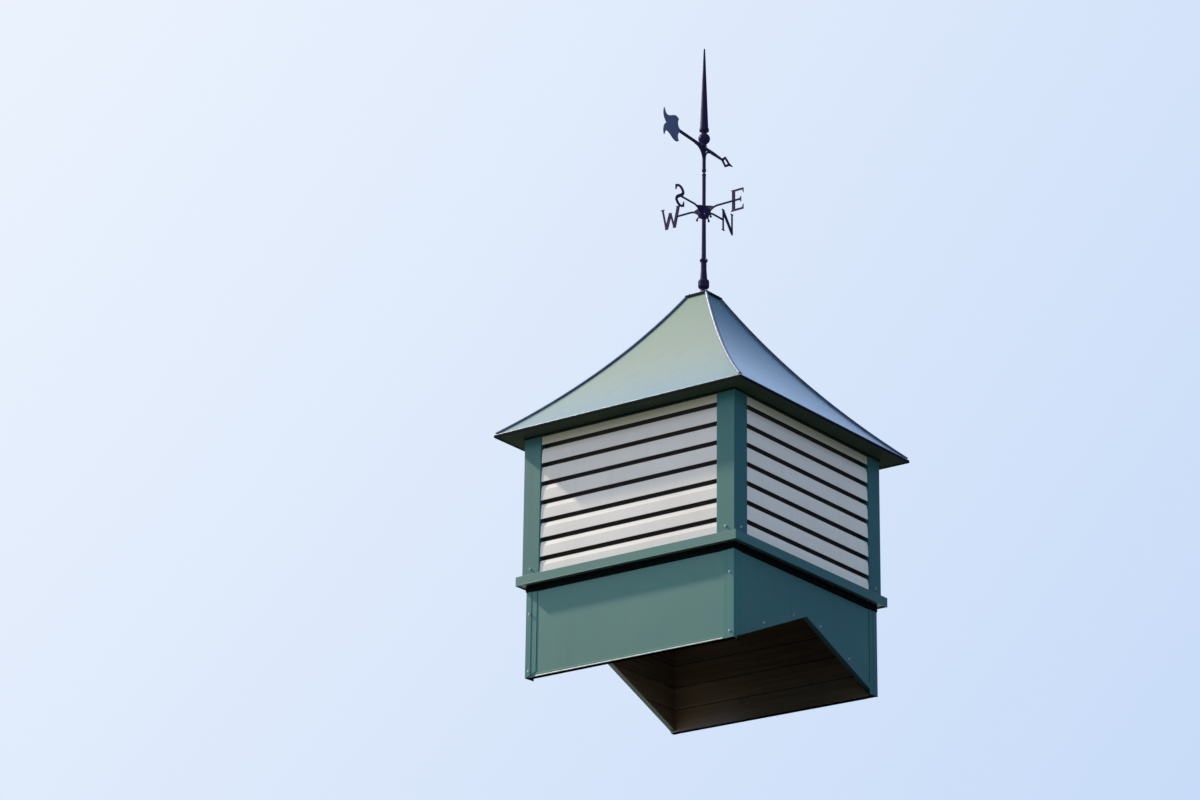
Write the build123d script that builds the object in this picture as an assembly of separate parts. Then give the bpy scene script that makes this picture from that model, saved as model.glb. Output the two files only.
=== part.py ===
from build123d import *
import math
import os

# A square louvred cupola that stands astride the ridge of a barn roof, with a
# hollow-curved hip roof and a weathervane. All lengths are in millimetres.
# +X runs along the ridge, the front faces -Y, +Z is up, and the origin lies
# on the vane's axis at the height of the lowest edges.

# Base box, cut to a V that fits over the ridge
body_width = 914.4
base_inset = 16.0
base_wall_height = 338.3
base_wall_thickness = 19.0
ridge_slope = 5 / 12
base_hem_height = 12.0
base_hem_proud = 1.5
apron_height = 24.0
corner_trim_leg = 43.0
corner_trim_thickness = 2.0
corner_fold_leg = 19.0
corner_fold_thickness = 3.5

# Sill band between the base and the louvre box
sill_height = 33.0
sill_overhang = 15.5
sill_fall = 3.0
sill_drip = 4.0
sill_lip_thickness = 3.0

# Corner posts and louvres
post_width = 76.2
post_height = 519.7
post_edge_radius = 3.0
louvre_pitch = 69.8
louvre_setback = 3.0
louvre_start_drop = 8.5
slat_height = 54.5
slat_lean = 5.0
slat_face_height = 38.0
slat_face_lean = 1.5
slat_shelf = 17.0
slat_shelf_rise = 4.0
slat_bend_radius = 3.0
slat_thickness = 2.0

# Roof, from the folded drip edge up to the cap
eave_overhang = 78.3
soffit_thickness = 3.0
drip_edge_below_soffit = 4.0
drip_edge_height = 8.0
drip_edge_thickness = 3.0
roof_rise = 583.0
roof_sweep = 31.7
roof_top_width = 84.0
roof_thickness = 12.0
header_thickness = 27.0
hip_seam_width = 7.0
hip_seam_height = 5.0

# Cap plate
cap_overhang = 7.0
cap_rim_height = 4.0
cap_slope_height = 8.0
cap_lip_thickness = 2.0
cap_lip_drop = 4.0
cap_plug_depth = 12.0

# Vane foot: a casting on the cap that holds the mast
foot_flange_radius = 17.0
foot_flange_height = 4.0
foot_stem_radius = 12.0
foot_stem_height = 21.0
foot_drum_radius = 20.5
foot_drum_height = 34.0
foot_drum_rounding = 8.0
foot_neck_radius = 13.5
foot_neck_height = 41.0
foot_socket_radius = 10.5
foot_socket_height = 29.0
foot_ring_radius = 15.0
foot_ring_height = 14.0
mast_socket_depth = 70.0
slip_clearance = 0.2

# Mast, stepped where the compass hub sits, with a spindle on top
mast_radius = 8.5
mast_radius_at_hub = 7.5
mast_bare_length = 163.0
mast_upper_radius = 6.75
mast_upper_length = 176.0
mast_end_radius = 7.5
mast_end_height = 8.0
spindle_radius = 4.0

# Compass hub with four goose-necked arms and their letters
hub_radius = 19.0
hub_height = 44.0
hub_shoulder_height = 17.0
hub_top_radius = 11.0
hub_rim_rounding = 4.0
arm_radius = 3.7
arm_root_height = 11.0
arm_rise = 25.0
arm_neck_reach = 43.0
curl_root_height = 7.0
curl_reach = 3.0
curl_bend_radius = 9.0
curl_bar_radius = 2.8
curl_ball_radius = 4.5
letter_height = 84.0
letter_thickness = 4.0
letter_reach = 152.0
letter_n_width = 57.0
letter_w_width = 72.0
letter_e_width = 50.0
letter_s_width = 52.0
thick_stroke = 12.5
thin_stroke = 6.5
serif_height = 5.0
serif_reach = 6.0

# Turning arrow: sleeve on the spindle, rod, braces, head and tail
arrow_heading = 94.0
sleeve_gap = 10.0
sleeve_radius = 6.6
sleeve_clearance = 0.4
sleeve_collar_radius = 8.0
sleeve_collar_height = 9.0
sleeve_height = 84.0
sleeve_bore_depth = 74.0
boss_radius = 9.5
boss_height = 28.0
rod_radius = 6.0
rod_tail_reach = 172.0
rod_head_reach = 128.0
rod_head_radius = 4.5
rod_swell_radius = 6.6
rod_swell_reach = 60.0
brace_radius = 3.6
brace_drop = 44.0
brace_tail_reach = 56.0
brace_head_reach = 34.0
tail_length = 107.0
tail_half_height = 54.0
tail_shoulder_height = 43.0
tail_shoulder_setback = 8.0
tail_waist_setback = 14.0
tail_dip_height = 32.0
tail_dip_reach = 88.0
tail_notch_depth = 17.0
plate_thickness = 4.0
head_length = 78.0
head_half_height = 22.0
head_barb_reach = 24.0
head_neck_reach = 54.0
head_neck_half_height = 5.0
head_opening_half_height = 12.5
head_opening_start = 11.0
head_opening_end = 44.0
ball_radius = 22.0
ball_flat_radius = 6.6
spire_neck_radius = 10.0
spire_neck_height = 10.0
spire_flange_radius = 18.0
spire_flange_height = 9.0
spire_base_radius = 15.5
spire_height = 327.0
spire_tip_radius = 3.0

# Places worked out from the sizes above
body_half = body_width / 2
base_half = body_half - base_inset
base_inner_half = base_half - base_wall_thickness
post_inner_half = body_half - post_width
sill_bottom = base_wall_height
sill_top = sill_bottom + sill_height
sill_half = body_half + sill_overhang
body_top = sill_top + post_height
soffit_top = body_top + soffit_thickness
eave_half = body_half + eave_overhang
eave_inner_half = eave_half - drip_edge_thickness
drip_bottom = body_top - drip_edge_below_soffit
eave_fold = drip_bottom + drip_edge_height
roof_top_half = roof_top_width / 2
roof_top = eave_fold + roof_rise
mitre_reach = 2 * eave_half

roof_cap_top = roof_top + cap_rim_height + cap_slope_height
foot_top = (
    roof_cap_top + foot_flange_height + foot_stem_height + foot_drum_height
    + foot_neck_height + foot_socket_height + foot_ring_height
)
hub_bottom = foot_top + mast_bare_length
hub_top = hub_bottom + hub_height
arm_height = hub_bottom + arm_root_height + arm_rise
mast_top = hub_bottom + mast_upper_length
spindle_top = mast_top + sleeve_gap + sleeve_bore_depth - sleeve_clearance
sleeve_bottom = mast_top + sleeve_gap
boss_bottom = sleeve_bottom + sleeve_height
boss_top = boss_bottom + boss_height
rod_height = (boss_bottom + boss_top) / 2
ball_half = math.sqrt(ball_radius ** 2 - ball_flat_radius ** 2)
spire_bottom = boss_top + 2 * ball_half

SIDES = {"front": 0, "right": 90, "back": 180, "left": 270}
CORNERS = {"front_right": 0, "back_right": 90, "back_left": 180, "front_left": 270}


def turned(shape, degrees):
    """The shape turned about the vane's axis."""
    return Rot(0, 0, degrees) * shape


def group(shapes):
    """Separate solids kept together as one piece."""
    return Compound([solid for shape in shapes for solid in shape.solids()])


def turned_profile(*edges):
    """A solid of revolution about the vane's axis from edges drawn as (radius, height)."""
    return revolve(make_face([Plane.XZ * edge for edge in edges]), axis=Axis.Z)


def front_outline(*shapes):
    """A cross-section of the front side, drawn as (distance out from the axis, height)."""
    section_plane = Plane(origin=(0, 0, 0), x_dir=(0, -1, 0), z_dir=(-1, 0, 0))
    placed = [section_plane * shape for shape in shapes]
    return placed[0] if shapes[0].faces() else make_face(placed)


def mitred_run(section):
    """The front side's section run along X and mitred at both corners."""
    run = extrude(section, amount=mitre_reach, both=True)
    quarter = make_face(
        Polyline((0, 0), (-mitre_reach, -mitre_reach), (mitre_reach, -mitre_reach), close=True)
    )
    return run & extrude(quarter, amount=4 * mitre_reach, both=True)


def straight_run(section, half_length):
    """The front side's section run along X with square ends."""
    return extrude(section, amount=half_length, both=True)


def ridge_wedge():
    """The space taken by the ridge of the house roof below the base."""
    reach = 2 * base_half
    wedge = Polyline(
        (-reach, base_half * ridge_slope - reach * ridge_slope),
        (0, base_half * ridge_slope),
        (reach, base_half * ridge_slope - reach * ridge_slope),
        close=True,
    )
    return extrude(make_face(Plane.YZ * wedge), amount=reach, both=True)


def base_end_wall():
    """Front wall of the base: a full-width board with a folded hem at its foot."""
    board = Polyline(
        (base_inner_half, 0),
        (base_half, 0),
        (base_half, sill_bottom),
        (base_inner_half, sill_bottom),
        close=True,
    )
    hem = Polyline(
        (base_half, 0),
        (base_half + base_hem_proud, 0),
        (base_half + base_hem_proud, base_hem_height),
        (base_half, base_hem_height),
        close=True,
    )
    wall = straight_run(front_outline(board), base_half)
    return wall + straight_run(front_outline(hem), base_half - corner_trim_leg)


def base_side_wall():
    """Side wall of the base, drawn on the front and cut to the ridge, with an apron along the cut."""
    board = Polyline(
        (base_inner_half, 0),
        (base_half, 0),
        (base_half, sill_bottom),
        (base_inner_half, sill_bottom),
        close=True,
    )
    apron = Polyline(
        (base_half, 0),
        (base_half + base_hem_proud, 0),
        (base_half + base_hem_proud, sill_bottom),
        (base_half, sill_bottom),
        close=True,
    )
    ridge = turned(ridge_wedge(), 90)
    wall = straight_run(front_outline(board), base_inner_half) - ridge
    raised_ridge = Pos(0, 0, apron_height) * ridge
    cover = straight_run(front_outline(apron), base_half - corner_trim_leg) & raised_ridge
    return wall + (cover - ridge)


def base_corner_trim():
    """Folded trim over the front right corner of the base, doubled next to the fold."""
    trim_corner = base_half + corner_trim_thickness
    fold_corner = base_half + corner_fold_thickness
    trim_side = corner_trim_leg + corner_trim_thickness
    trim = Pos(trim_corner, -trim_corner) * Rectangle(trim_side, trim_side, align=(Align.MAX, Align.MIN))
    fold_side = corner_fold_leg + corner_fold_thickness
    fold = Pos(fold_corner, -fold_corner) * Rectangle(fold_side, fold_side, align=(Align.MAX, Align.MIN))
    base = Rectangle(2 * base_half, 2 * base_half)
    return extrude(trim + fold - base, amount=sill_bottom) - ridge_wedge()


def sill():
    """Sill band: flat under the posts, falling outwards, with a drip lip folded down."""
    outline = Polyline(
        (post_inner_half, sill_bottom),
        (sill_half - sill_lip_thickness, sill_bottom),
        (sill_half - sill_lip_thickness, sill_bottom - sill_drip),
        (sill_half, sill_bottom - sill_drip),
        (sill_half, sill_top - sill_fall),
        (body_half, sill_top),
        (post_inner_half, sill_top),
        close=True,
    )
    return mitred_run(front_outline(outline))


def corner_post():
    """Square clad post at the front right corner."""
    centre = body_half - post_width / 2
    section = Pos(centre, -centre, sill_top) * RectangleRounded(post_width, post_width, post_edge_radius)
    return extrude(section, amount=post_height)


def louvre():
    """The front side's slats: a nearly upright face, its top bent back, and a shelf that runs inwards.
    The lowest slat starts below the sill's top and the highest ends at the roof, both cut off there."""
    foot = body_half - louvre_setback - slat_thickness / 2
    bend = FilletPolyline(
        (foot, 0),
        (foot - slat_face_lean, slat_face_height),
        (foot - slat_lean, slat_height),
        (foot - slat_lean - slat_shelf, slat_height + slat_shelf_rise),
        radius=slat_bend_radius,
    )
    slat = straight_run(front_outline(trace(bend, slat_thickness)), post_inner_half)
    opening = Pos(0, 0, sill_top) * extrude(Rectangle(2 * body_half, 2 * body_half), amount=post_height)
    first_foot = sill_top - louvre_start_drop
    rows = math.ceil((body_top - first_foot) / louvre_pitch)
    return group(Pos(0, 0, first_foot + row * louvre_pitch) * slat & opening for row in range(rows))


def roof_circle():
    """Centre and radius of the roof's hollow curve, from its two ends and its sweep."""
    run = eave_half - roof_top_half
    chord = math.hypot(run, roof_rise)
    radius = (chord * chord / 4 + roof_sweep * roof_sweep) / (2 * roof_sweep)
    reach = radius - roof_sweep
    centre_out = (eave_half + roof_top_half) / 2 + reach * roof_rise / chord
    centre_up = (eave_fold + roof_top) / 2 + reach * run / chord
    return centre_out, centre_up, radius


def roof_height(out, depth=0.0):
    """Height of the roof's curve at a distance from the axis, or of a curve that deep below it."""
    centre_out, centre_up, radius = roof_circle()
    return centre_up - math.sqrt((radius + depth) ** 2 - (centre_out - out) ** 2)


def roof_out(height, depth=0.0):
    """Distance from the axis at which the roof's curve, or one that deep below it, has a height."""
    centre_out, centre_up, radius = roof_circle()
    return centre_out - math.sqrt((radius + depth) ** 2 - (centre_up - height) ** 2)


def roof_arc(out_a, out_b, depth=0.0):
    """The roof's curve, or one that deep below it, between two distances from the axis."""
    middle = (out_a + out_b) / 2
    return ThreePointArc(
        (out_a, roof_height(out_a, depth)),
        (middle, roof_height(middle, depth)),
        (out_b, roof_height(out_b, depth)),
    )


def header():
    """Board on the posts that carries the roof, its top cut to the roof's underside."""
    inner = body_half - header_thickness
    top = roof_arc(body_half, inner, roof_thickness)
    sides = Polyline(
        (inner, roof_height(inner, roof_thickness)), (inner, body_top), (body_half, body_top), top @ 0
    )
    return mitred_run(front_outline(top, sides))


def soffit():
    """Flat sheet that closes the eaves from the header to the drip edge."""
    outline = Polyline(
        (body_half, body_top),
        (eave_inner_half, body_top),
        (eave_inner_half, soffit_top),
        (body_half, soffit_top),
        close=True,
    )
    return mitred_run(front_outline(outline))


def roof_panel():
    """One hollow-curved roof panel with its drip edge folded down at the eave."""
    inner_start = roof_out(soffit_top, roof_thickness)
    surface = roof_arc(eave_half, roof_top_half)
    underside = roof_arc(roof_top_half, inner_start, roof_thickness)
    edge = Polyline(
        underside @ 1,
        (eave_inner_half, soffit_top),
        (eave_inner_half, drip_bottom),
        (eave_half, drip_bottom),
        surface @ 0,
    )
    crown = Line(surface @ 1, underside @ 0)
    return mitred_run(front_outline(surface, crown, underside, edge))


def hip_seam():
    """Raised seam over the front right hip: a strip on each of the two panels that meet there."""
    seam_top = roof_top - cap_lip_drop
    crest = roof_arc(eave_half, roof_out(seam_top, -hip_seam_height), -hip_seam_height)
    bed = roof_arc(roof_out(seam_top), eave_half)
    crown = Line(crest @ 1, bed @ 0)
    heel = Line(bed @ 1, crest @ 0)
    layer = mitred_run(front_outline(crest, crown, bed, heel))
    strip = Rot(0, 0, -45) * Rectangle(2 * mitre_reach, hip_seam_width, align=(Align.MIN, Align.MAX))
    front_half = layer & extrude(strip, amount=2 * roof_top)
    return front_half + mirror(front_half, about=Plane(origin=(0, 0, 0), z_dir=(1, 1, 0)))


def roof_cap():
    """Square cap plate with a turned-down lip and a plug in the roof's top opening."""
    width = roof_top_width + 2 * cap_overhang
    rim = Pos(0, 0, roof_top) * extrude(Rectangle(width, width), amount=cap_rim_height)
    crown_width = 2 * foot_flange_radius
    crown = loft([
        Pos(0, 0, roof_top + cap_rim_height) * Rectangle(width, width),
        Pos(0, 0, roof_top + cap_rim_height + cap_slope_height) * Rectangle(crown_width, crown_width),
    ])
    inner_width = width - 2 * cap_lip_thickness
    lip = extrude(Rectangle(width, width) - Rectangle(inner_width, inner_width), amount=cap_lip_drop)
    plug = extrude(Rectangle(roof_top_width, roof_top_width), amount=cap_plug_depth)
    lip_place = Pos(0, 0, roof_top - cap_lip_drop)
    plug_place = Pos(0, 0, roof_top - cap_plug_depth)
    return rim + crown + lip_place * lip + plug_place * plug


def vane_foot():
    """Cast foot: flange, stem, rounded drum, tapering neck and a socket with a ring at its mouth."""
    stem_z = roof_cap_top + foot_flange_height
    drum_z = stem_z + foot_stem_height
    neck_z = drum_z + foot_drum_height
    socket_z = neck_z + foot_neck_height
    ring_z = socket_z + foot_socket_height
    turn = foot_drum_rounding
    lower_round = RadiusArc((foot_drum_radius - turn, drum_z), (foot_drum_radius, drum_z + turn), -turn)
    upper_round = RadiusArc((foot_drum_radius, neck_z - turn), (foot_drum_radius - turn, neck_z), -turn)
    ring_round = ThreePointArc(
        (foot_socket_radius, ring_z),
        (foot_ring_radius, ring_z + foot_ring_height / 2),
        (foot_socket_radius, foot_top),
    )
    foot = turned_profile(
        Polyline(
            (0, roof_cap_top),
            (foot_flange_radius, roof_cap_top),
            (foot_flange_radius, stem_z),
            (foot_stem_radius, stem_z),
            (foot_stem_radius, drum_z),
            lower_round @ 0,
        ),
        lower_round,
        Line(lower_round @ 1, upper_round @ 0),
        upper_round,
        Polyline(
            upper_round @ 1,
            (foot_neck_radius, neck_z),
            (foot_socket_radius, socket_z),
            ring_round @ 0,
        ),
        ring_round,
        Polyline(ring_round @ 1, (0, foot_top), (0, roof_cap_top)),
    )
    socket = Pos(0, 0, foot_top - mast_socket_depth) * Cylinder(
        mast_radius + slip_clearance, mast_socket_depth, align=(Align.CENTER, Align.CENTER, Align.MIN)
    )
    return foot - socket


def vane_mast():
    """Steel mast from the foot's socket up to the spindle, with a shoulder for the hub."""
    outline = Polyline(
        (0, foot_top - mast_socket_depth),
        (mast_radius, foot_top - mast_socket_depth),
        (mast_radius, foot_top),
        (mast_radius_at_hub, hub_bottom),
        (mast_upper_radius, hub_bottom),
        (mast_upper_radius, mast_top - mast_end_height),
        (mast_end_radius, mast_top - mast_end_height),
        (mast_end_radius, mast_top),
        (spindle_radius, mast_top),
        (spindle_radius, spindle_top),
        (0, spindle_top),
        close=True,
    )
    return turned_profile(outline)


def compass_hub():
    """Turned hub that slips over the mast's upper length and sits on its shoulder."""
    shoulder = hub_bottom + hub_shoulder_height
    hub = turned_profile(
        Polyline(
            (0, hub_bottom),
            (hub_radius - hub_rim_rounding, hub_bottom),
            (hub_radius, hub_bottom + hub_rim_rounding),
            (hub_radius, shoulder),
        ),
        ThreePointArc(
            (hub_radius, shoulder),
            ((hub_radius + hub_top_radius) / 2 - hub_rim_rounding / 2, (shoulder + hub_top) / 2),
            (hub_top_radius, hub_top),
        ),
        Polyline((hub_top_radius, hub_top), (0, hub_top), (0, hub_bottom)),
    )
    bore = Cylinder(mast_upper_radius + slip_clearance, 4 * hub_height)
    return hub - Pos(0, 0, hub_bottom) * bore


def stroke(start, end, width):
    """A straight stroke of a letter."""
    return trace(Line(start, end), width)


def swelling_stroke(path, end_width, middle_width):
    """A curved stroke of a letter, thin at both ends and thickest in the middle."""
    steps = 12
    sides = []
    for hand in (1, -1):
        points = []
        for step in range(steps + 1):
            along = step / steps
            half_width = (end_width + (middle_width - end_width) * math.sin(math.pi * along)) / 2
            across = (path % along).rotate(Axis.Z, 90)
            points.append(path @ along + across * hand * half_width)
        sides.append(Spline(*points))
    left, right = sides
    return make_face([left, Line(left @ 1, right @ 1), right, Line(right @ 0, left @ 0)])


def serif(out, end, width):
    """A flat foot across the end of an upright stroke; end is that end's height."""
    inner = end - math.copysign(serif_height, end)
    reach = width / 2 + serif_reach
    foot = Polyline(
        (out - reach, end),
        (out + reach, end),
        (out + width / 2, inner),
        (out - width / 2, inner),
        close=True,
    )
    return make_face(foot)


def beak(out, end, drop):
    """The pointed end of a bar: a wedge that hangs from its tip or, with a negative drop, stands on it."""
    return make_face(Polyline((out, end), (out, end - drop), (out - 1.4 * serif_reach, end), close=True))


def letter_n():
    """Capital N: thin uprights and a thick diagonal, with the place where the arm meets it."""
    top = letter_height / 2
    side = letter_n_width / 2
    lean = thick_stroke / 2
    face = stroke((-side, -top), (-side, top), thin_stroke) + stroke((side, -top), (side, top), thin_stroke)
    face += stroke((-side, top - lean), (side, lean - top), thick_stroke)
    face += serif(-side, -top, thin_stroke) + serif(-side, top, thin_stroke) + serif(side, top, thin_stroke)
    return face, -side


def letter_e():
    """Capital E: a thick upright and three thin bars with beaks."""
    top = letter_height / 2
    bar = top - thin_stroke / 2
    stem = (thick_stroke - letter_e_width) / 2
    end = letter_e_width / 2
    middle_end = end - 2 * serif_reach
    face = stroke((stem, -top), (stem, top), thick_stroke)
    face += serif(stem, -top, thick_stroke) + serif(stem, top, thick_stroke)
    face += stroke((stem, bar), (end, bar), thin_stroke) + stroke((stem, -bar), (end, -bar), thin_stroke)
    face += stroke((stem, 0), (middle_end, 0), thin_stroke)
    face += beak(end, top, 3 * thin_stroke) + beak(end, -top, -3 * thin_stroke)
    face += stroke((middle_end, -2 * serif_height), (middle_end, 2 * serif_height), thin_stroke / 2)
    return face, stem


def letter_w():
    """Capital W: thick and thin strokes in turn, with feet on its outer tips."""
    top = letter_height / 2
    tips = [letter_w_width * (step / 4 - 1 / 2) for step in range(5)]
    heights = (top, -top, top / 2, -top, top)
    widths = (thick_stroke, thin_stroke, thick_stroke, thin_stroke)
    face = serif(tips[0], top, thick_stroke) + serif(tips[4], top, thin_stroke)
    for step, width in enumerate(widths):
        face += stroke((tips[step], heights[step]), (tips[step + 1], heights[step + 1]), width)
    return face, (tips[0] + tips[1]) / 2


def letter_s():
    """Capital S: one curved stroke, thickest in its spine, with a beak at each end."""
    top = (letter_height - thin_stroke) / 2
    side = (letter_s_width - thin_stroke) / 2
    path = Spline(
        (side, 0.62 * top),
        (0.1 * side, top),
        (-0.92 * side, 0.5 * top),
        (0, 0),
        (0.92 * side, -0.5 * top),
        (-0.1 * side, -top),
        (-side, -0.62 * top),
    )
    face = swelling_stroke(path, thin_stroke, thick_stroke)
    for hand in (1, -1):
        tip = hand * (side + thin_stroke / 4)
        face += stroke((tip, hand * 0.42 * top), (tip, hand * 0.95 * top), thin_stroke / 2)
    return face, -side / 2


def compass_arm(letter, angle):
    """A goose-necked arm with a curled end under its root and a flat letter at its tip."""
    face, join = letter
    root = (hub_radius, arm_height - arm_rise)
    neck = TangentArc((hub_radius + arm_neck_reach, arm_height), root, tangent=(-1, 0))
    in_hub = neck @ 1 + (neck % 1) * 3 * arm_radius
    path = Plane.XZ * (Line((letter_reach + join, arm_height), neck @ 0) + neck + Line(neck @ 1, in_hub))
    arm = sweep(Plane(origin=path @ 0, z_dir=path % 0) * Circle(arm_radius), path=path)
    curl_root = hub_bottom + curl_root_height
    curl_turn = (hub_radius + curl_reach, curl_root)
    curl_bend = JernArc(start=curl_turn, tangent=(1, 0), radius=curl_bend_radius, arc_size=-90)
    curl = Plane.XZ * (Line((hub_radius / 2, curl_root), curl_turn) + curl_bend)
    arm += sweep(Plane(origin=curl @ 0, z_dir=curl % 0) * Circle(curl_bar_radius), path=curl)
    arm += Pos(curl @ 1) * Sphere(curl_ball_radius)
    plate = extrude(Plane.XZ * (Pos(letter_reach, arm_height) * face), amount=letter_thickness / 2, both=True)
    plate &= Pos(letter_reach, 0, arm_height) * Box(2 * letter_height, letter_height, letter_height)
    arm = arm - Pos(0, 0, hub_bottom) * Cylinder(hub_radius, 2 * hub_height)
    return turned(arm + plate, angle)


def aimed(shape):
    """A piece of the arrow, drawn pointing along +X, turned to its heading."""
    return turned(shape, arrow_heading)


def rod_bore():
    """The space that the rod takes through the sleeve's boss and above its braces."""
    bore = Cylinder(rod_swell_radius + slip_clearance, 4 * rod_tail_reach)
    return Pos(0, 0, rod_height) * Rot(0, 90, 0) * bore


def arrow_sleeve():
    """Sleeve that turns on the spindle, with a boss for the rod and a curved brace to each side under it."""
    collar_top = sleeve_bottom + sleeve_collar_height
    sleeve = turned_profile(Polyline(
        (0, sleeve_bottom),
        (sleeve_collar_radius, sleeve_bottom),
        (sleeve_collar_radius, collar_top),
        (sleeve_radius, collar_top),
        (sleeve_radius, boss_bottom),
        (boss_radius, boss_bottom),
        (boss_radius, boss_top),
        (0, boss_top),
        close=True,
    ))
    brace_top = rod_height - rod_radius
    brace_bottom = rod_height - brace_drop
    bulge = 1 - math.sqrt(1 / 2)
    for hand, reach in ((1, brace_head_reach), (-1, brace_tail_reach)):
        curve = ThreePointArc(
            (hand * sleeve_radius, brace_bottom),
            (hand * (sleeve_radius + bulge * reach), brace_top - bulge * (brace_top - brace_bottom)),
            (hand * (sleeve_radius + reach), brace_top),
        )
        path = Plane.XZ * curve
        sleeve += sweep(Plane(origin=path @ 0, z_dir=path % 0) * Circle(brace_radius), path=path)
    web_end = (-sleeve_radius - brace_tail_reach, rod_height)
    gusset = make_face([curve, Polyline(curve @ 1, web_end, (0, rod_height), (0, brace_bottom), curve @ 0)])
    sleeve += extrude(Plane.XZ * gusset, amount=plate_thickness / 2, both=True)
    bore = Cylinder(
        spindle_radius + sleeve_clearance, sleeve_bore_depth, align=(Align.CENTER, Align.CENTER, Align.MIN)
    )
    return aimed(sleeve - Pos(0, 0, sleeve_bottom) * bore - rod_bore())


def arrow_rod():
    """Round rod through the boss, swelling beyond the brace and tapering to the head."""
    outline = Plane.XZ * Polyline(
        (-rod_tail_reach, 0),
        (-rod_tail_reach, rod_radius),
        (boss_radius, rod_radius),
        (rod_swell_reach, rod_swell_radius),
        (rod_head_reach, rod_head_radius),
        (rod_head_reach, 0),
        close=True,
    )
    return aimed(Pos(0, 0, rod_height) * revolve(make_face(outline), axis=Axis.X))


def arrow_head():
    """Pierced head: a barbed diamond with a drawn-out point."""
    outline = Polyline(
        (0, -rod_head_radius),
        (head_barb_reach, -head_half_height),
        (head_neck_reach, -head_neck_half_height),
        (head_length, 0),
        (head_neck_reach, head_neck_half_height),
        (head_barb_reach, head_half_height),
        (0, rod_head_radius),
        close=True,
    )
    opening = Polyline(
        (head_opening_start, 0),
        (head_barb_reach, -head_opening_half_height),
        (head_opening_end, 0),
        (head_barb_reach, head_opening_half_height),
        close=True,
    )
    face = Pos(rod_head_reach, rod_height) * (make_face(outline) - make_face(opening))
    return aimed(extrude(Plane.XZ * face, amount=plate_thickness / 2, both=True))


def arrow_tail():
    """Leaf-shaped tail fin with a hollow front edge, swept tips and a notched back."""
    front = ThreePointArc(
        (0, rod_radius),
        (-tail_waist_setback, tail_shoulder_height / 2),
        (-tail_shoulder_setback, tail_shoulder_height),
    )
    crest = Spline(
        front @ 1,
        (-tail_length / 2, tail_shoulder_height),
        (-tail_dip_reach, tail_dip_height),
        (-tail_length, tail_half_height),
    )
    back = ThreePointArc(
        crest @ 1,
        (-tail_length, tail_notch_depth),
        (tail_notch_depth - tail_length, 0),
    )
    half = make_face([front, crest, back, Polyline(back @ 1, (0, 0), front @ 0)])
    face = Pos(-rod_tail_reach, rod_height) * (half + mirror(half, about=Plane.XZ))
    return aimed(extrude(Plane.XZ * face, amount=plate_thickness / 2, both=True))


def vane_ball():
    """Ball above the arrow's boss, flattened where it meets its neighbours."""
    middle = boss_top + ball_half
    side = ThreePointArc(
        (ball_flat_radius, boss_top), (ball_radius, middle), (ball_flat_radius, spire_bottom)
    )
    return turned_profile(side, Polyline(side @ 1, (0, spire_bottom), (0, boss_top), side @ 0))


def vane_spire():
    """Tall tapering spire on a neck and a flange, with a rounded tip."""
    flange_bottom = spire_bottom + spire_neck_height
    flange_top = flange_bottom + spire_flange_height
    cone_top = flange_top + spire_height
    tip = RadiusArc((spire_tip_radius, cone_top), (0, cone_top + spire_tip_radius), -spire_tip_radius)
    outline = Polyline(
        tip @ 1,
        (0, spire_bottom),
        (spire_neck_radius, spire_bottom),
        (spire_neck_radius, flange_bottom),
        (spire_flange_radius, flange_bottom),
        (spire_flange_radius, flange_top),
        (spire_base_radius, flange_top),
        tip @ 0,
    )
    return turned_profile(outline, tip)


nodes = {}

for side, angle in SIDES.items():
    wall = base_end_wall() if side in ("front", "back") else base_side_wall()
    nodes["base_" + side] = turned(wall, angle)
    nodes["sill_" + side] = turned(sill(), angle)
    nodes["louvre_" + side] = turned(louvre(), angle)
    nodes["header_" + side] = turned(header(), angle)
    nodes["soffit_" + side] = turned(soffit(), angle)
    nodes["roof_" + side] = turned(roof_panel(), angle)

nodes["base_corner_trims"] = group(turned(base_corner_trim(), angle) for angle in CORNERS.values())
nodes["hip_seams"] = group(turned(hip_seam(), angle) for angle in CORNERS.values())
for corner, angle in CORNERS.items():
    nodes["post_" + corner] = turned(corner_post(), angle)
nodes["roof_cap"] = roof_cap()
nodes["vane_foot"] = vane_foot()
nodes["vane_mast"] = vane_mast()
nodes["compass_hub"] = compass_hub()
nodes["compass_arm_e"] = compass_arm(letter_e(), 0)
nodes["compass_arm_n"] = compass_arm(letter_n(), 90)
nodes["compass_arm_w"] = compass_arm(letter_w(), 180)
nodes["compass_arm_s"] = compass_arm(letter_s(), 270)
nodes["arrow_sleeve"] = arrow_sleeve()
nodes["arrow_rod"] = arrow_rod()
nodes["arrow_head"] = arrow_head()
nodes["arrow_tail"] = arrow_tail()
nodes["vane_ball"] = vane_ball()
nodes["vane_spire"] = vane_spire()

os.makedirs("parts", exist_ok=True)
for name, shape in nodes.items():
    export_step(shape, "parts/" + name + ".step")
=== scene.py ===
import bpy
import bmesh
import math
from mathutils import Matrix, Vector


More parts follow.
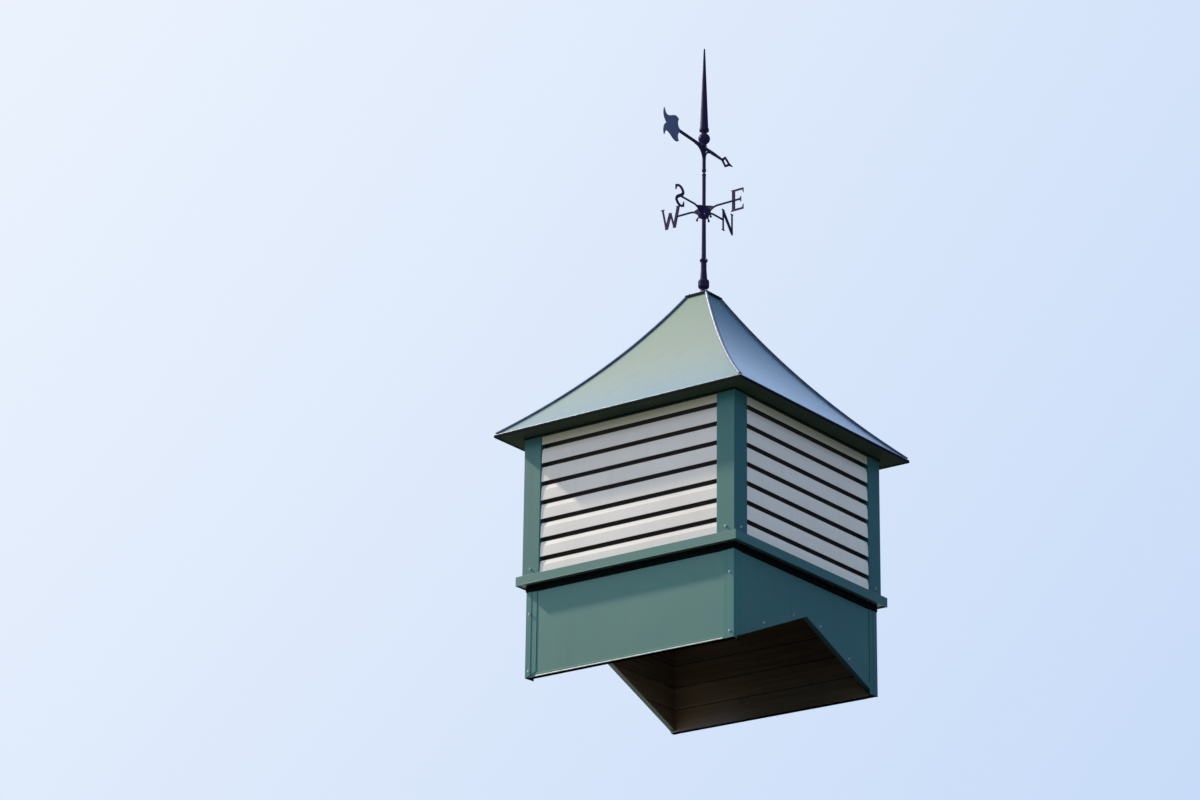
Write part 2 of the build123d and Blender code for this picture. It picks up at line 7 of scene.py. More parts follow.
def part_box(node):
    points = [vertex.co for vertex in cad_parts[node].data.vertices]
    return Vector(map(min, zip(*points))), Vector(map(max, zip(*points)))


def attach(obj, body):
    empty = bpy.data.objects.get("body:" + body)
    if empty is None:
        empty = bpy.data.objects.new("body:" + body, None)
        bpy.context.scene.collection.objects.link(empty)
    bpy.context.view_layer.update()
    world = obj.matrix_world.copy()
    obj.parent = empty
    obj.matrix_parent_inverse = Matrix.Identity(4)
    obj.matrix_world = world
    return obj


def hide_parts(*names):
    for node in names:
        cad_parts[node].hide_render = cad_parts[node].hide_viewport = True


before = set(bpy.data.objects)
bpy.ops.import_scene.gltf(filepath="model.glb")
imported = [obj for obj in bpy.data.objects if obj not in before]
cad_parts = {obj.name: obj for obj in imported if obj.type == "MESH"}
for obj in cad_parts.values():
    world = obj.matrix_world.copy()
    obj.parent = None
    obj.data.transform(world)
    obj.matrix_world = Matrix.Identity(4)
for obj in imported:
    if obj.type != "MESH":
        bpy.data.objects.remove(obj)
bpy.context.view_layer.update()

# Base walls. Boards clad in dark green sheet steel, with a hem along the two end walls' feet and an apron
# along the V-shaped cuts of the two side walls. The paint is semi-gloss; inside, the bare boards show.
SIDES = ("front", "right", "back", "left")
HEM_PROUD = 0.0015
BARE_MARGIN = 0.0005
FOLD_SOFTNESS = 0.0016
PEEL_DEPTH = 0.00003
BOARD_WIDTH = 0.0845
BOARD_GAP = 0.0027
BOARDS_ROUGHER = 0.45
BASE_GREEN = (0.012, 0.108, 0.102, 1)
BASE_FADED = (0.025, 0.158, 0.140, 1)
BASE_SHEEN = (0.90, 1.15, 0.88, 1)
EDGE_GREEN = (0.120, 0.270, 0.250, 1)
UNDERSIDE_SHADE_GREEN = (0.006, 0.014, 0.012, 1)
RAIN_GRIME = (0.050, 0.058, 0.050, 1)
BOARD_LIGHT = (0.400, 0.285, 0.170, 1)
BOARD_DARK = (0.200, 0.130, 0.070, 1)
GAP_BLACK = (0.012, 0.009, 0.006, 1)
base_low, base_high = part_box("base_right")
base_face = base_high.x - HEM_PROUD


def add_node(tree, kind, inputs=None, **settings):
    """Adds a shader node; an input is either a plain value or the output of another node."""
    made = tree.nodes.new("ShaderNode" + kind)
    for key, value in settings.items():
        setattr(made, key, value)
    for key, value in (inputs or {}).items():
        if isinstance(value, bpy.types.NodeSocket):
            tree.links.new(value, made.inputs[key])
        else:
            made.inputs[key].default_value = value
    return made


def new_material(name, **constants):
    """A material with one Principled shader, some of its sockets set, and the object's own coordinates."""
    material = bpy.data.materials.new(name)
    material.use_nodes = True
    tree = material.node_tree
    shader = tree.nodes["Principled BSDF"]
    for key, value in constants.items():
        shader.inputs[key.replace("_", " ")].default_value = value
    place = add_node(tree, "TexCoord").outputs["Object"]
    return material, tree, shader, place


def maths(tree, operation, first, second=0.0):
    """One step of arithmetic, on one number or two."""
    return add_node(tree, "Math", {0: first, 1: second}, operation=operation).outputs[0]


def parts_of(tree, vector):
    """A vector's three coordinates."""
    return add_node(tree, "SeparateXYZ", {0: vector}).outputs


def ramp(tree, value, start, end):
    """0 where a value is at its start or short of it, 1 at its end, and even between."""
    return add_node(tree, "MapRange", {"Value": value, "From Min": start, "From Max": end}).outputs[0]


def between(tree, factor, low, high):
    """A number that runs from low to high as a factor runs from 0 to 1."""
    return add_node(tree, "MapRange", {"Value": factor, "To Min": low, "To Max": high}).outputs[0]


def noise(tree, place, scale, detail=3.0, stretch=(1, 1, 1), low=0.0, high=1.0):
    """Noise between 0 and 1, drawn out along an axis by a stretch below 1, and cut at two levels."""
    if stretch != (1, 1, 1):
        place = add_node(tree, "Mapping", {"Vector": place, "Scale": stretch}).outputs[0]
    made = add_node(tree, "TexNoise", {"Vector": place, "Scale": scale, "Detail": detail})
    return ramp(tree, made.outputs[0], low, high)


def mix_colours(tree, factor, first, second):
    """The first colour where a factor is 0, the second where it is 1."""
    return add_node(tree, "Mix", {0: factor, 6: first, 7: second}, data_type="RGBA").outputs[2]


def laid_over(tree, colour, added, factor, share):
    """A colour with a share of another laid over it where a factor is 1."""
    return mix_colours(tree, maths(tree, "MULTIPLY", factor, share), colour, added)


def rounded(tree, radius):
    """The surface's normal with its edges softened, and how near an edge each point lies."""
    soft = add_node(tree, "Bevel", {"Radius": radius}, samples=4).outputs[0]
    plain = add_node(tree, "NewGeometry").outputs["Normal"]
    along = add_node(tree, "VectorMath", {0: soft, 1: plain}, operation="DOT_PRODUCT").outputs["Value"]
    return soft, ramp(tree, along, 0.995, 0.80)


def bumped(tree, height, depth, normal=None, strength=1.0):
    """The surface's normal, or a given one, tilted by a pattern of heights."""
    inputs = {"Height": height, "Distance": depth, "Strength": strength}
    if normal is not None:
        inputs["Normal"] = normal
    return add_node(tree, "Bump", inputs).outputs[0]


def inside_of(tree, place, reach):
    """1 where both sideways coordinates are smaller than a reach, 0 elsewhere."""
    parts = parts_of(tree, place)
    widest = maths(tree, "MAXIMUM", maths(tree, "ABSOLUTE", parts[0]), maths(tree, "ABSOLUTE", parts[1]))
    return maths(tree, "LESS_THAN", widest, reach)


def facing_down(tree):
    """1 on undersides, fading to 0 on faces that stand upright."""
    outward = add_node(tree, "NewGeometry").outputs["True Normal"]
    return ramp(tree, parts_of(tree, outward)[2], -0.1, -0.5)


def board_colour(tree, place):
    """Sawn softwood boards laid level: no two quite alike, grain along each, and a dark gap between them."""
    row = maths(tree, "DIVIDE", parts_of(tree, place)[2], BOARD_WIDTH)
    tone = add_node(tree, "TexWhiteNoise", {"W": maths(tree, "FLOOR", row)}, noise_dimensions="1D").outputs[0]
    grain = noise(tree, place, 9.0, 5.0, stretch=(0.35, 0.35, 9.0), low=0.3, high=0.7)
    knots = noise(tree, place, 7.0, 2.0, low=0.66, high=0.74)
    shade = maths(tree, "ADD", maths(tree, "MULTIPLY", tone, 0.45), maths(tree, "MULTIPLY", grain, 0.55))
    colour = mix_colours(tree, shade, BOARD_LIGHT, BOARD_DARK)
    colour = laid_over(tree, colour, BOARD_DARK, knots, 0.7)
    off_middle = maths(tree, "ABSOLUTE", maths(tree, "SUBTRACT", maths(tree, "FRACT", row), 0.5))
    gap = maths(tree, "GREATER_THAN", off_middle, 0.5 - BOARD_GAP / BOARD_WIDTH / 2)
    return mix_colours(tree, gap, colour, GAP_BLACK)


def set_surface(tree, shader, colour, normal, rough=None):
    """Gives a shader its colour, its bumps and, where it varies, its roughness."""
    tree.links.new(colour, shader.inputs["Base Color"])
    tree.links.new(normal, shader.inputs["Normal"])
    if rough is not None:
        tree.links.new(rough, shader.inputs["Roughness"])


def steel_paint(
        name, fresh, faded, sheen, waviness, roughness=(0.52, 0.62), coat=0.40, bare_within=None,
        bare_below_only=False):
    """Green factory paint on thin sheet: faded in patches, faintly streaked, a little wavy, and worn at its
    folds, and darkened on its undersides as painted shade. Nearer the middle than a given reach, bare boards
    show, on all faces or on undersides only."""
    material, tree, shader, place = new_material(
        name, Specular_IOR_Level=1.0, Specular_Tint=sheen, Coat_Weight=coat, Coat_Roughness=0.20)
    soft, edge = rounded(tree, FOLD_SOFTNESS)
    under = facing_down(tree)
    sunned = noise(tree, place, 2.6, 4.0, low=0.35, high=0.75)
    streak = noise(tree, place, 16.0, 4.0, stretch=(1.6, 1.6, 0.07), low=0.50, high=0.80)
    speck = noise(tree, place, 420.0, 2.0, low=0.60, high=0.85)
    colour = laid_over(tree, fresh, faded, sunned, 0.55)
    colour = laid_over(tree, colour, RAIN_GRIME, streak, 0.18)
    colour = laid_over(tree, colour, faded, speck, 0.20)
    colour = laid_over(tree, colour, EDGE_GREEN, edge, 0.60)
    # Painted shade: undersides are darkened towards a near-black green.
    colour = laid_over(tree, colour, UNDERSIDE_SHADE_GREEN, under, 0.75)
    rough = between(tree, maths(tree, "MAXIMUM", sunned, streak), *roughness)
    if bare_within:
        bare = inside_of(tree, place, bare_within)
        if bare_below_only:
            bare = maths(tree, "MULTIPLY", bare, maths(tree, "GREATER_THAN", under, 0.2))
        colour = mix_colours(tree, bare, colour, board_colour(tree, place))
        rough = maths(tree, "ADD", rough, maths(tree, "MULTIPLY", bare, BOARDS_ROUGHER))
    wavy = bumped(tree, noise(tree, place, 4.0, 1.0), waviness, soft)
    skin = bumped(tree, noise(tree, place, 700.0, 1.0), PEEL_DEPTH, wavy, strength=0.6)
    set_surface(tree, shader, colour, skin, rough)
    return material


def finish_node(name, material):
    """Gives a CAD piece its finish."""
    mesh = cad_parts[name].data
    mesh.materials.clear()
    mesh.materials.append(material)


def finish_sides(group, material):
    """Gives the four sides of a group their finish."""
    for side in SIDES:
        finish_node(group + "_" + side, material)


finish_sides("base", steel_paint(
    "base_steel", BASE_GREEN, BASE_FADED, BASE_SHEEN, waviness=0.0016, bare_within=base_low.x + BARE_MARGIN))


# Corner trims of the base. Folded angles of the same sheet over the walls' corners, doubled next to the
# fold, and fixed to the end walls near the top and the foot with zinc-plated hex screws.
TRIM_SCREW_IN = 0.0165
TRIM_SCREW_HEIGHTS = (0.0235, 0.232)
SCREW_STEPS = (
    (0.0054, 0.0050, 0.0011, 20),
    (0.0047, 0.0040, 0.0012, 20),
    (0.0034, 0.0034, 0.0026, 6),
    (0.0034, 0.0027, 0.0007, 6),
)
STEEL_SHEEN = (0.62, 1.0, 0.78, 1)
ZINC = (0.62, 0.64, 0.67, 1)
DULL_ZINC = (0.34, 0.35, 0.36, 1)


def dulled_finish(name, bright, dull, patches, roughness, dents, depth, softness=None, **constants):
    """A plain finish gone dull and rougher in patches, over fine dents. Patches and dents are settings for
    noise, and a softness rounds the piece's edges."""
    material, tree, shader, place = new_material(name, **constants)
    worn = noise(tree, place, **patches)
    soft = rounded(tree, softness)[0] if softness else None
    skin = bumped(tree, noise(tree, place, **dents), depth, soft)
    set_surface(tree, shader, mix_colours(tree, worn, bright, dull), skin, between(tree, worn, *roughness))
    return material


def add_screw(shape, place, outward, size=1.0):
    """A hex head pressed with its flange, on a washer, standing out from a face. Each step of it has two
    radii, a height and a number of sides."""
    turn = Vector((0, 0, 1)).rotation_difference(Vector(outward)).to_matrix().to_4x4()
    stand = Matrix.Translation(place) @ turn @ Matrix.Scale(size, 4)
    foot = 0
    for low_radius, high_radius, height, sides in SCREW_STEPS:
        bmesh.ops.create_cone(
            shape, cap_ends=True, segments=sides, radius1=low_radius, radius2=high_radius, depth=height,
            matrix=stand @ Matrix.Translation((0, 0, foot + height / 2)))
        foot += height


def make_piece(name, shape, material, body="cupola", crease=35):
    """Turns a bmesh into a piece that rides on a body of the object."""
    bmesh.ops.recalc_face_normals(shape, faces=shape.faces)
    data = bpy.data.meshes.new(name)
    shape.to_mesh(data)
    shape.free()
    data.shade_smooth()
    data.set_sharp_from_angle(angle=math.radians(crease))
    data.materials.append(material)
    piece = bpy.data.objects.new(name, data)
    bpy.context.scene.collection.objects.link(piece)
    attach(piece, body)
    return piece


finish_node("base_corner_trims", steel_paint(
    "corner_steel", BASE_GREEN, BASE_FADED, STEEL_SHEEN, waviness=0.0009))
zinc = dulled_finish(
    "zinc_plating", ZINC, DULL_ZINC, patches=dict(scale=160.0, low=0.4, high=0.7), roughness=(0.28, 0.5),
    dents=dict(scale=900.0, detail=2.0), depth=0.00003, Metallic=0.85)
trim_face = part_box("base_corner_trims")[1].y
shape = bmesh.new()
for hand in (1, -1):
    for facing in (1, -1):
        for height in TRIM_SCREW_HEIGHTS:
            place = (hand * (trim_face - TRIM_SCREW_IN), facing * trim_face, height)
            add_screw(shape, place, (0, facing, 0))
make_piece("trim_screws", shape, zinc)


# Apron screws and foot hems. The aprons along the V-shaped cuts are screwed to the side walls. A thin edging
# of bare aluminium, rolled to a bead, closes the sheet along the end walls' feet between the corner trims;
# its pale colour is also a painted highlight, standing for its sunlit top.
APRON_SCREW_PLACES = (0.085, 0.262)
APRON_SCREW_UP = 0.021
CUT_SLOPE = 5 / 12
HEM_BEAD = 0.0024
TRIM_LEG = 0.043
HEM_HIGHLIGHT_BRIGHT = (0.66, 0.76, 0.70, 1)
HEM_HIGHLIGHT_DULL = (0.40, 0.47, 0.43, 1)
shape = bmesh.new()
for hand in (1, -1):
    for facing in (1, -1):
        for along in APRON_SCREW_PLACES:
            height = (base_face - along) * CUT_SLOPE + APRON_SCREW_UP
            add_screw(shape, (hand * base_high.x, facing * along, height), (hand, 0, 0))
make_piece("apron_screws", shape, zinc)

# Painted highlight: the hem's pale colour stands for light on its top.
aluminium_and_highlight = dulled_finish(
    "aluminium_and_highlight", HEM_HIGHLIGHT_BRIGHT, HEM_HIGHLIGHT_DULL, patches=dict(scale=40.0, detail=4.0, low=0.40, high=0.75),
    roughness=(0.40, 0.60), dents=dict(scale=60.0, detail=2.0), depth=0.0002, Metallic=0.15)
shape = bmesh.new()
for facing in (1, -1):
    place = Matrix.Translation((0, facing * base_high.x, HEM_BEAD))
    bmesh.ops.create_cone(
        shape, cap_ends=True, segments=12, radius1=HEM_BEAD, radius2=HEM_BEAD,
        depth=2 * (base_face - TRIM_LEG), matrix=place @ Matrix.Rotation(math.radians(90), 4, "Y"))
make_piece("foot_hems", shape, aluminium_and_highlight)


# Sill band. One folded sheet a side over the base's top boards, mitred at the corners: flat under the posts,
# falling outwards, and turned down to a drip lip with a rolled edge.
SILL_BEAD = 0.0042
SILL_BEAD_IN = 0.00126
STEEL_GREEN = (0.008, 0.088, 0.086, 1)
STEEL_FADED = (0.018, 0.126, 0.116, 1)
SILL_SHEEN = (0.95, 1.15, 0.92, 1)


def spin_section(shape, points, middle=(0, 0), steps=4):
    """Spins a closed section once round an upright axis."""
    ring = [shape.verts.new(point) for point in points]
    edges = [shape.edges.new(pair) for pair in zip(ring, ring[1:] + ring[:1])]
    bmesh.ops.spin(
        shape, geom=ring + edges, cent=(*middle, 0), axis=(0, 0, 1), angle=2 * math.pi, steps=steps,
        use_merge=True)


def run_round(shape, section, middle=(0, 0)):
    """Runs a section, drawn as (distance out, height), round a square with mitred corners."""
    spin_section(shape, [(middle[0] + out, middle[1] + out, up) for out, up in section], middle)


def oval(out, up, thick, tall, sides=10):
    """An oval section."""
    angles = [2 * math.pi * turn / sides for turn in range(sides)]
    return [(out + thick / 2 * math.cos(angle), up + tall / 2 * math.sin(angle)) for angle in angles]


trim_paint = steel_paint("trim_steel", STEEL_GREEN, STEEL_FADED, STEEL_SHEEN, waviness=0.0007)
post_low, post_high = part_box("post_front_right")
post_inner = post_low.x
finish_sides("sill", steel_paint(
    "sill_steel", BASE_GREEN, BASE_FADED, SILL_SHEEN, waviness=0.0005, bare_within=post_inner + BARE_MARGIN))
sill_low, sill_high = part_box("sill_right")
shape = bmesh.new()
run_round(shape, oval(sill_high.x - SILL_BEAD_IN, sill_low.z + SILL_BEAD / 2, SILL_BEAD, SILL_BEAD))
make_piece("sill_hem", shape, trim_paint)


# Closure strip. Black closed-cell foam, matt and a little dusty, pressed in under the sill round the top of
# the base, against driven rain. Its black and its height also stand for the shade under the sill: partly
# painted shade.
STRIP_TALL = 0.0255
STRIP_PROUD = 0.0055
STRIP_ROUNDING = 0.002
STRIP_BLACK_AND_SHADE = (0.003, 0.004, 0.004, 1)
STRIP_DUSTY = (0.009, 0.010, 0.009, 1)
# Partly painted shade: the strip's black stands for the shade under the sill.
foam_and_shade = dulled_finish(
    "foam_and_shade", STRIP_BLACK_AND_SHADE, STRIP_DUSTY, patches=dict(scale=45.0, detail=4.0, low=0.45, high=0.8),
    roughness=(0.75, 0.95), dents=dict(scale=500.0, detail=2.0), depth=0.0004, Specular_IOR_Level=0.02)
strip_face = base_face + STRIP_PROUD
strip_foot = base_high.z - STRIP_TALL
shape = bmesh.new()
run_round(shape, [
    (base_face, strip_foot),
    (strip_face - STRIP_ROUNDING, strip_foot),
    (strip_face, strip_foot + STRIP_ROUNDING),
    (strip_face, base_high.z),
    (base_face, base_high.z),
])
make_piece("closure_strip", shape, foam_and_shade)


# Corner posts. Square timber clad in a sheet folded round it and screwed near the foot, with a bead of
# sealant where it stands on the sill.
CORNERS = ("front_right", "back_right", "back_left", "front_left")
POST_SCREW_IN = 0.0375
POST_SCREW_UP = 0.0215
SEALANT_BEAD = 0.006
SEALANT_GREEN = (0.130, 0.200, 0.185, 1)


def sealant_finish(name, colour):
    """Sealant: a soft sheen, a little uneven, dusty."""
    return dulled_finish(
        name, colour, RAIN_GRIME, patches=dict(scale=60.0, low=0.35, high=0.7), roughness=(0.3, 0.6),
        dents=dict(scale=90.0, detail=2.0), depth=0.0006, Specular_IOR_Level=0.4)


post_screws = bmesh.new()
post_sealant = bmesh.new()
for corner in CORNERS:
    finish_node("post_" + corner, trim_paint)
    low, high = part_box("post_" + corner)
    middle = (low + high) / 2
    half = (high.x - low.x) / 2
    out = Vector((math.copysign(1, middle.x), math.copysign(1, middle.y)))
    face = abs(middle.x) + half
    in_line = face - POST_SCREW_IN
    height = low.z + POST_SCREW_UP
    add_screw(post_screws, (out.x * in_line, out.y * face, height), (0, out.y, 0))
    add_screw(post_screws, (out.x * face, out.y * in_line, height), (out.x, 0, 0))
    run_round(post_sealant, oval(half, low.z, SEALANT_BEAD, SEALANT_BEAD), middle=(middle.x, middle.y))
make_piece("post_screws", post_screws, zinc)
make_piece("post_sealant", post_sealant, sealant_finish("green_sealant", SEALANT_GREEN))


# Louvres. Formed slats of white sheet between the posts, each a nearly upright face bent back at its top
# into a shelf. Rain has left faint streaks. The highest slats are darkened to an olive under the eaves as
# painted shade, and the slats' edges carry a painted highlight.
EAVE_SHADE_FROM = 0.82
EAVE_SHADE_FULL = 0.865
SLAT_WHITE = (0.785, 0.752, 0.698, 1)
SLAT_WORN = (0.680, 0.646, 0.584, 1)
SLAT_GRIME = (0.300, 0.290, 0.255, 1)
SLAT_EDGE_HIGHLIGHT = (0.930, 0.920, 0.890, 1)
SLAT_EAVE_SHADE = (0.370, 0.360, 0.130, 1)


def slat_paint():
    """Satin white paint, a little dirty, with a painted highlight along its edges and painted shade near the
    top.
    """
    material, tree, shader, place = new_material("slat_white", Specular_IOR_Level=0.35)
    soft, edge = rounded(tree, FOLD_SOFTNESS)
    worn = noise(tree, place, 5.0, 4.0, low=0.35, high=0.75)
    streak = noise(tree, place, 22.0, 4.0, stretch=(1.5, 1.5, 0.15), low=0.52, high=0.85)
    speck = noise(tree, place, 300.0, 3.0, low=0.62, high=0.85)
    eave_shade = ramp(tree, parts_of(tree, place)[2], EAVE_SHADE_FROM, EAVE_SHADE_FULL)
    colour = laid_over(tree, SLAT_WHITE, SLAT_WORN, worn, 0.5)
    colour = laid_over(tree, colour, SLAT_GRIME, streak, 0.10)
    colour = laid_over(tree, colour, SLAT_GRIME, speck, 0.20)
    # Painted highlight: edges are lightened towards a brighter white.
    colour = laid_over(tree, colour, SLAT_EDGE_HIGHLIGHT, edge, 0.60)
    # Painted shade: the slats darken to an olive towards the eaves.
    colour = laid_over(tree, colour, SLAT_EAVE_SHADE, eave_shade, 0.60)
    peel = bumped(tree, noise(tree, place, 600.0, 1.0), PEEL_DEPTH, soft, strength=0.5)
    wavy = bumped(tree, noise(tree, place, 6.0, 1.0, stretch=(0.4, 0.4, 3.0)), 0.0006, peel)
    set_surface(tree, shader, colour, wavy, between(tree, maths(tree, "MAXIMUM", worn, streak), 0.42, 0.6))
    return material


finish_sides("louvre", slat_paint())


# Insect screens behind the slats. Black woven mesh on thin softwood battens, tacked between the posts. The
# mesh's black also stands for the shade inside, so that the gaps between the slats look black: partly painted
# shade.
SCREEN_OUT = 0.4235
SCREEN_THICKNESS = 0.0006
BATTEN_WIDE = 0.018
BATTEN_DEEP = 0.008
WEAVE_PITCH = 0.0016
# Partly painted shade: the mesh's black stands for the dark inside.
SCREEN_BLACK_AND_SHADE = (0.060, 0.050, 0.044, 1)
SCREEN_GREY = (0.130, 0.112, 0.100, 1)


def screen_weave():
    """Fine black mesh: two sets of threads that cross."""
    material, tree, shader, place = new_material("screen_mesh", Roughness=0.8, Specular_IOR_Level=0.1)
    weave_scale = 1 / (WEAVE_PITCH * math.pi * 2)
    threads = []
    for axis in ("X", "Y", "Z"):
        wave = add_node(tree, "TexWave", {"Vector": place, "Scale": weave_scale}, bands_direction=axis)
        threads.append(wave.outputs["Fac"])
    weave = maths(tree, "MAXIMUM", maths(tree, "MULTIPLY", threads[0], threads[1]), threads[2])
    colour = mix_colours(tree, weave, SCREEN_BLACK_AND_SHADE, SCREEN_GREY)
    set_surface(tree, shader, colour, bumped(tree, weave, 0.0002))
    return material


def batten_finish():
    """Bare sawn softwood."""
    material, tree, shader, place = new_material("batten_timber", Roughness=0.85, Specular_IOR_Level=0.2)
    grain = noise(tree, place, 30.0, 3.0, stretch=(0.4, 0.4, 5.0))
    set_surface(tree, shader, board_colour(tree, place), bumped(tree, grain, 0.0004))
    return material


def add_bar(shape, low, high, rounding=0.0008):
    """A squared bar between two corners, its edges taken off."""
    low, high = Vector(low), Vector(high)
    place = Matrix.Translation((low + high) / 2) @ Matrix.Diagonal((*(high - low), 1))
    made = bmesh.ops.create_cube(shape, size=1.0, matrix=place)["verts"]
    edges = list(dict.fromkeys(edge for vert in made for edge in vert.link_edges))
    bmesh.ops.bevel(
        shape, geom=edges, offset=rounding, affect="EDGES", segments=1, profile=0.5, material=-1)


def turn_quarters(shape, quarters):
    """Turns the whole of a shape about the vane's axis."""
    turn = Matrix.Rotation(math.radians(90 * quarters), 4, "Z")
    bmesh.ops.transform(shape, matrix=turn, verts=shape.verts)


screen_mesh = screen_weave()
batten_timber = batten_finish()
sill_top = post_low.z
soffit_level = post_high.z
screen_back = SCREEN_THICKNESS - SCREEN_OUT
batten_back = screen_back + BATTEN_DEEP
inside_battens = post_inner - BATTEN_WIDE
for quarters, side in enumerate(SIDES):
    shape = bmesh.new()
    add_bar(
        shape, (-post_inner, -SCREEN_OUT, sill_top), (post_inner, screen_back, soffit_level),
        rounding=SCREEN_THICKNESS / 3)
    turn_quarters(shape, quarters)
    make_piece("insect_screen_" + side, shape, screen_mesh)
    shape = bmesh.new()
    for edge in (-post_inner, inside_battens):
        add_bar(shape, (edge, screen_back, sill_top), (edge + BATTEN_WIDE, batten_back, soffit_level))
    for foot in (sill_top, soffit_level - BATTEN_WIDE):
        head = foot + BATTEN_WIDE
        add_bar(shape, (-inside_battens, screen_back, foot), (inside_battens, batten_back, head))
    turn_quarters(shape, quarters)
    make_piece("screen_battens_" + side, shape, batten_timber)


# Headers and soffits. Header boards on the posts carry the roof; flat sheets close the eaves under it, over a
# narrow folded trim round the posts and louvres. They lie in the shade in a dull dark green, dusty; the
# trim's near-black green is painted shade.
FRIEZE_TALL = 0.0095
FRIEZE_PROUD = 0.0018
FRIEZE_DEEP = 0.012
FRIEZE_ROUNDING = 0.0008
MITRE_LINE = 0.0006
SOFFIT_GREEN = (0.028, 0.049, 0.029, 1)
SOFFIT_DUSTY = (0.048, 0.063, 0.040, 1)
FRIEZE_SHADE_GREEN = (0.009, 0.018, 0.012, 1)
FRIEZE_SHADE_DUSTY = (0.016, 0.024, 0.016, 1)
header_inner = -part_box("header_front")[1].y


def soffit_paint(name, fresh, dusty):
    """Dull dark green paint, dusty, with a dark line at the mitres; bare boards inside the headers."""
    material, tree, shader, place = new_material(name, Specular_IOR_Level=0.05)
    soft, edge = rounded(tree, 0.001)
    dust = noise(tree, place, 6.0, 4.0, low=0.35, high=0.7)
    parts = parts_of(tree, place)
    off_mitre = maths(tree, "SUBTRACT", maths(tree, "ABSOLUTE", parts[0]), maths(tree, "ABSOLUTE", parts[1]))
    mitre = maths(tree, "LESS_THAN", maths(tree, "ABSOLUTE", off_mitre), MITRE_LINE)
    bare = inside_of(tree, place, header_inner + BARE_MARGIN)
    colour = mix_colours(tree, dust, fresh, dusty)
    colour = laid_over(tree, colour, EDGE_GREEN, edge, 0.4)
    colour = mix_colours(tree, mitre, colour, GAP_BLACK)
    colour = mix_colours(tree, bare, colour, board_colour(tree, place))
    wavy = bumped(tree, noise(tree, place, 5.0, 1.0), 0.0009, soft)
    set_surface(tree, shader, colour, wavy, between(tree, dust, 0.75, 0.9))
    return material


soffit_sheet = soffit_paint("soffit_sheet", SOFFIT_GREEN, SOFFIT_DUSTY)
finish_sides("header", soffit_sheet)
finish_sides("soffit", soffit_sheet)
# Painted shade: the trim is near-black, darker than the soffit.
frieze_shade_sheet = soffit_paint("frieze_shade_sheet", FRIEZE_SHADE_GREEN, FRIEZE_SHADE_DUSTY)
post_face = post_high.x
frieze_face = post_face + FRIEZE_PROUD
frieze_foot = soffit_level - FRIEZE_TALL
shape = bmesh.new()
run_round(shape, [
    (post_face - FRIEZE_DEEP, frieze_foot),
    (frieze_face - FRIEZE_ROUNDING, frieze_foot),
    (frieze_face, frieze_foot + FRIEZE_ROUNDING),
    (frieze_face, soffit_level),
    (post_face - FRIEZE_DEEP, soffit_level),
])
make_piece("frieze_trim", shape, frieze_shade_sheet)


# Roof. Four smooth hollow-curved sheets over boards, folded down at the eave over a thin drip edge of dark
# bronze sheet with a rolled hem. The paint is glossy and sun-bleached. The drip edge's near-black is partly
# painted shade, and the fold's pale metal is a painted highlight.
DRIP_HEIGHT = 0.0074
DRIP_THICK = 0.0008
EAVE_BEAD = 0.0034
EAVE_FOLD = 0.0026
FOLD_PROUD = 0.0004
ROOF_GREEN = (0.040, 0.132, 0.100, 1)
ROOF_CHALKY = (0.085, 0.192, 0.150, 1)
ROOF_SHEEN = (1.0, 0.96, 0.82, 1)
BRONZE_SHADE_DARK = (0.005, 0.006, 0.014, 1)
BRONZE_DUSTY = (0.011, 0.012, 0.022, 1)
FOLD_HIGHLIGHT = (0.44, 0.53, 0.49, 1)
FOLD_HIGHLIGHT_DULL = (0.25, 0.31, 0.28, 1)
finish_sides("roof", steel_paint(
    "roof_steel", ROOF_GREEN, ROOF_CHALKY, ROOF_SHEEN, waviness=0.0007, roughness=(0.28, 0.36), coat=1.0,
    bare_within=post_face, bare_below_only=True))
roof_low, roof_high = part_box("roof_right")
eave_out = roof_high.x
drip_face = eave_out + DRIP_THICK / 2
drip_foot = roof_low.z - DRIP_THICK / 2
drip_top = roof_low.z + DRIP_HEIGHT
# Partly painted shade: the drip edge is near-black.
drip_bronze_shade = dulled_finish(
    "drip_bronze_shade", BRONZE_SHADE_DARK, BRONZE_DUSTY, patches=dict(scale=20.0, detail=4.0, low=0.4, high=0.75),
    roughness=(0.60, 0.75), dents=dict(scale=8.0, detail=1.0), depth=0.0004, softness=DRIP_THICK,
    Specular_IOR_Level=0.04)
shape = bmesh.new()
run_round(shape, [
    (eave_out - DRIP_THICK, drip_foot),
    (drip_face, drip_foot),
    (drip_face, drip_top),
    (eave_out - DRIP_THICK, drip_top),
])
run_round(shape, oval(eave_out - EAVE_BEAD / 2, roof_low.z, EAVE_BEAD, EAVE_BEAD))
make_piece("drip_edges", shape, drip_bronze_shade)

# Painted highlight: the fold's pale metal stands for light along the eave's edge.
fold_highlight = dulled_finish(
    "fold_highlight", FOLD_HIGHLIGHT, FOLD_HIGHLIGHT_DULL, patches=dict(scale=50.0, detail=4.0, low=0.40, high=0.75),
    roughness=(0.45, 0.60), dents=dict(scale=60.0, detail=2.0), depth=0.0002, Metallic=0.85)
shape = bmesh.new()
run_round(shape, oval(
    eave_out + FOLD_PROUD - EAVE_FOLD / 2, drip_top + EAVE_FOLD / 2, EAVE_FOLD, EAVE_FOLD))
make_piece("eave_folds", shape, fold_highlight)


